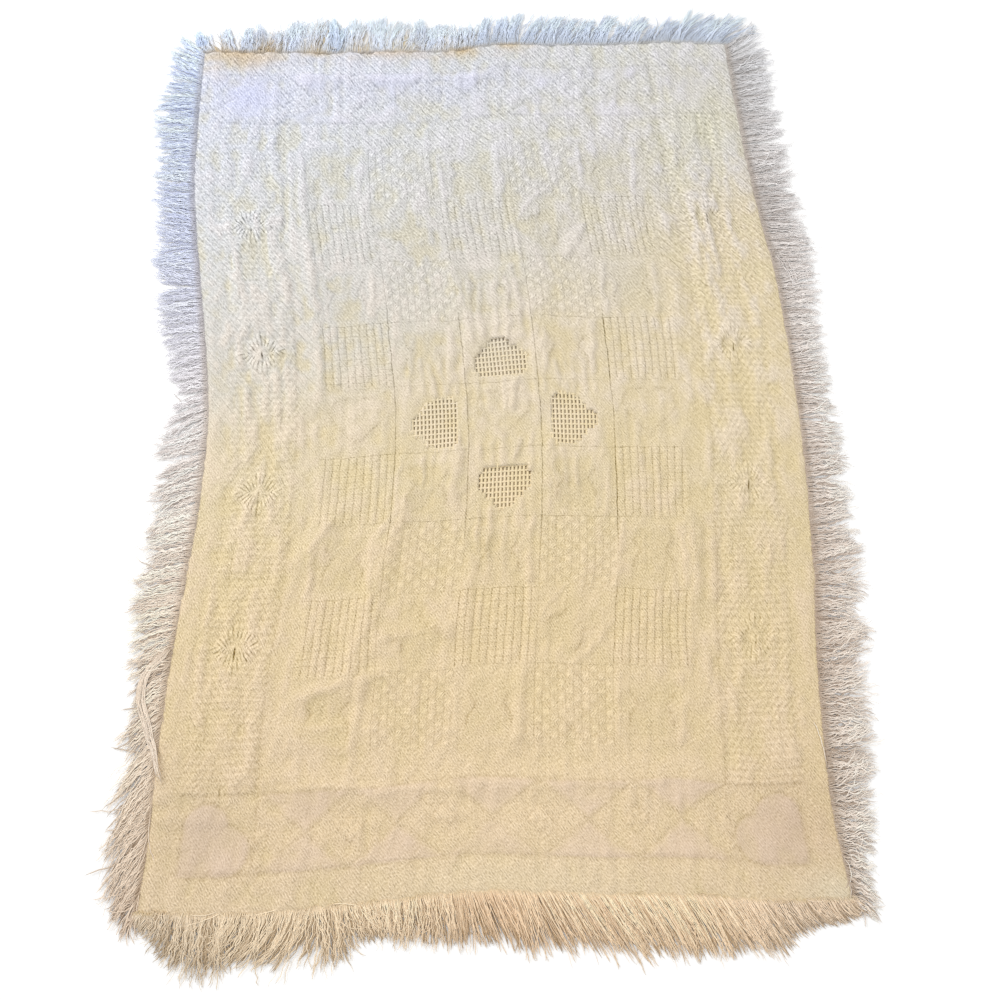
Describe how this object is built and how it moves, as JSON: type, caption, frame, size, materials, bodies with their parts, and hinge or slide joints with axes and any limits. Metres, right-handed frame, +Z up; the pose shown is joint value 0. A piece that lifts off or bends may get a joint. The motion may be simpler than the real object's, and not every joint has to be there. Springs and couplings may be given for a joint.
{
  "type": "baby blanket",
  "caption": "Flat-laid cream cotton baby blanket, woven in textured blocks with openwork hearts and a woven border, with loose yarn fringe on all sides",
  "frame": {"origin": "on the floor, under the middle of the whole footprint with its fringe", "axes": "+X across the blanket, +Y along it from the near end to the far end, +Z up from the floor"},
  "size_m": [0.9208, 1.3078, 0.0091],
  "materials": {
    "woven_cotton": "matt off-white cotton in figured weave, soft and a little puckered",
    "fringe_yarn": "matt off-white loose cotton yarn"
  },
  "bodies": {
    "root": {"cloth": "woven_cotton", "fringe_left": "fringe_yarn", "fringe_right": "fringe_yarn", "fringe_far": "fringe_yarn", "fringe_near": "fringe_yarn"}
  },
  "joints": []
}
